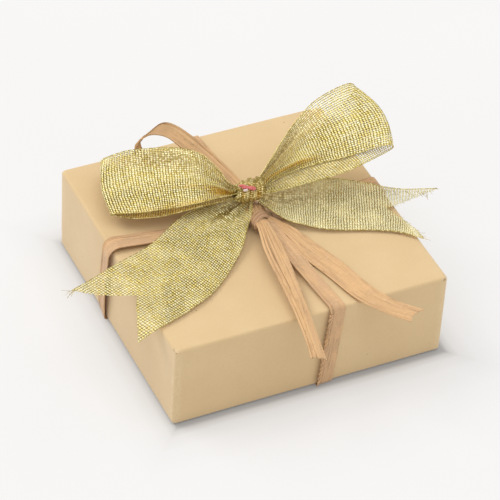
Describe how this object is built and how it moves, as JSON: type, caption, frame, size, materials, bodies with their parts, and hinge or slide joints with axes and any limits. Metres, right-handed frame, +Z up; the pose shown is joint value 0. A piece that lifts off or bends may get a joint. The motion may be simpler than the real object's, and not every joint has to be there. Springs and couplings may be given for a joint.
{
  "type": "gift box",
  "caption": "Square kraft paper gift box with a lift-off lid, a velvet pad inside, raffia ties and a gold mesh ribbon bow on top.",
  "frame": {"origin": "centre of the box's underside, which is the face it rests on", "axes": "+X to the right along the front edge, +Y to the back, +Z up through the lid"},
  "size_m": [0.1254, 0.1074, 0.0572],
  "materials": {
    "kraft_paper": "matte",
    "grey_board": "matte",
    "stay_paper": "matte",
    "pad_foam": "matte",
    "cream_velvet": "matte",
    "raffia": "satin",
    "gold_mesh": "satin",
    "red_thread": "matte"
  },
  "bodies": {
    "tray": {"tray_wrap": "kraft_paper", "tray_board": "grey_board", "tray_stay_back_left": "stay_paper", "tray_stay_back_right": "stay_paper", "tray_stay_front_left": "stay_paper", "tray_stay_front_right": "stay_paper"},
    "pad": {"pad_foam": "pad_foam", "pad_velvet": "cream_velvet"},
    "lid": {"lid_wrap": "kraft_paper", "lid_board": "grey_board", "lid_stay_back_left": "stay_paper", "lid_stay_back_right": "stay_paper", "lid_stay_front_left": "stay_paper", "lid_stay_front_right": "stay_paper", "raffia_strap_front": "raffia", "raffia_strap_back": "raffia", "raffia_strap_left": "raffia", "raffia_strap_right": "raffia", "raffia_knot": "raffia", "raffia_knot_wrap": "raffia", "raffia_tail_front": "raffia", "raffia_tail_right": "raffia", "raffia_loop": "raffia", "gold_loop_left": "gold_mesh", "gold_loop_right": "gold_mesh", "gold_tail_left": "gold_mesh", "gold_tail_right": "gold_mesh", "gold_knot": "gold_mesh", "bow_thread": "red_thread"}
  },
  "joints": [
    {"name": "lid_lift", "type": "slide", "parent": "tray", "child": "lid", "axis": [0, 0, 1], "range_m": [0, 0.06]},
    {"name": "pad_lift", "type": "slide", "parent": "tray", "child": "pad", "axis": [0, 0, 1], "range_m": [0, 0.014]}
  ]
}
